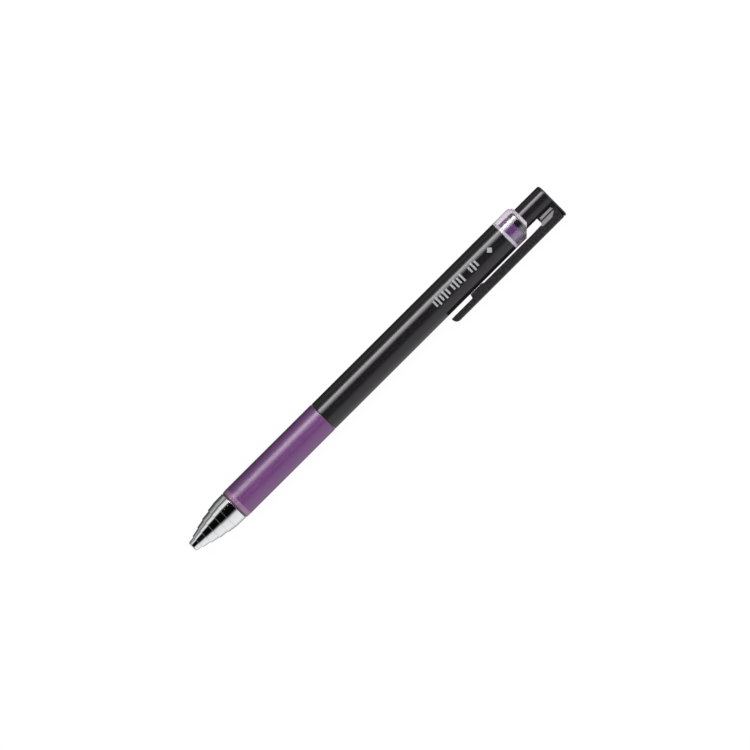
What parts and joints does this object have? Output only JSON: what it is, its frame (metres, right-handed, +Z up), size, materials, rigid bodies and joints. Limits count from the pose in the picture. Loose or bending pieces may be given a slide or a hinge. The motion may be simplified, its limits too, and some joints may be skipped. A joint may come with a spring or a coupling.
{
  "type": "retractable gel pen",
  "caption": "Slim push-button gel pen with a stepped metal cone, soft coloured grip, clear collar and a pocket clip that moves with the knob.",
  "frame": {"origin": "on the table, under the centre of the outer box of the pen lying at rest", "axes": "+X along the pen's axis from the tip to the knob; +Z up; the clip points towards -Y and about 21 degrees below level, resting one edge on the table"},
  "size_m": [0.142, 0.013, 0.0098],
  "materials": {
    "chrome_metal": "bright plated metal",
    "violet_rubber": "satin soft-touch",
    "black_plastic": "polished",
    "clear_plastic": "clear, polished",
    "white_plastic": "moulded",
    "natural_plastic": "translucent, moulded",
    "violet_plastic": "smooth",
    "carbide": "polished",
    "steel": "turned",
    "violet_ink": "wet",
    "clear_grease": "wet"
  },
  "bodies": {
    "barrel": {"barrel": "black_plastic", "rubber_grip": "violet_rubber", "clear_collar": "clear_plastic", "cam_sleeve": "white_plastic"},
    "spring": {"return_spring": "steel"},
    "cone": {"tip_cone": "chrome_metal"},
    "knock": {"knock_button": "black_plastic", "knock_cap": "black_plastic", "knock_plunger": "natural_plastic", "colour_ring": "violet_plastic"},
    "rotor": {"cam_rotor": "white_plastic"},
    "refill": {"refill_tube": "natural_plastic", "ink_column": "violet_ink", "ink_follower": "clear_grease", "refill_tail_plug": "white_plastic", "tip_holder": "natural_plastic", "point_holder": "steel", "writing_ball": "carbide", "ball_spring": "steel"},
    "clip": {"clip_arm": "black_plastic"}
  },
  "joints": [
    {"name": "knock_slide", "type": "slide", "parent": "barrel", "child": "knock", "axis": [-1, 0, 0], "range_m": [0, 0.0047], "stiffness_N_per_m": 600, "springref_m": -0.003},
    {"name": "rotor_slide", "type": "slide", "parent": "barrel", "child": "rotor", "axis": [-1, 0, 0], "range_m": [0, 0.0047]},
    {"name": "refill_slide", "type": "slide", "parent": "barrel", "child": "refill", "axis": [-1, 0, 0], "range_m": [0, 0.0047], "deforming": ["return_spring"]},
    {"name": "clip_flex", "type": "hinge", "parent": "knock", "child": "clip", "pos_m": [0.0694, -0.00218, 0.0034], "axis": [0, -0.3658, 0.9307], "range_deg": [0, 4], "stiffness_Nm_per_rad": 4, "springref_deg": -0.57},
    {"name": "cone_advance", "type": "slide", "parent": "barrel", "child": "spring", "axis": [-1, 0, 0], "range_m": [0, 0.004]},
    {"name": "cone_turn", "type": "hinge", "parent": "spring", "child": "cone", "pos_m": [-0.0627, 0.00164, 0.0049], "axis": [-1, 0, 0], "range_deg": [0, 1445]}
  ],
  "couplings": [
    {"joint": "rotor_slide", "follows": "knock_slide", "ratio": 1},
    {"joint": "refill_slide", "follows": "knock_slide", "ratio": 1},
    {"joint": "cone_turn", "follows": "cone_advance", "rad_per_m": 6283.2}
  ]
}
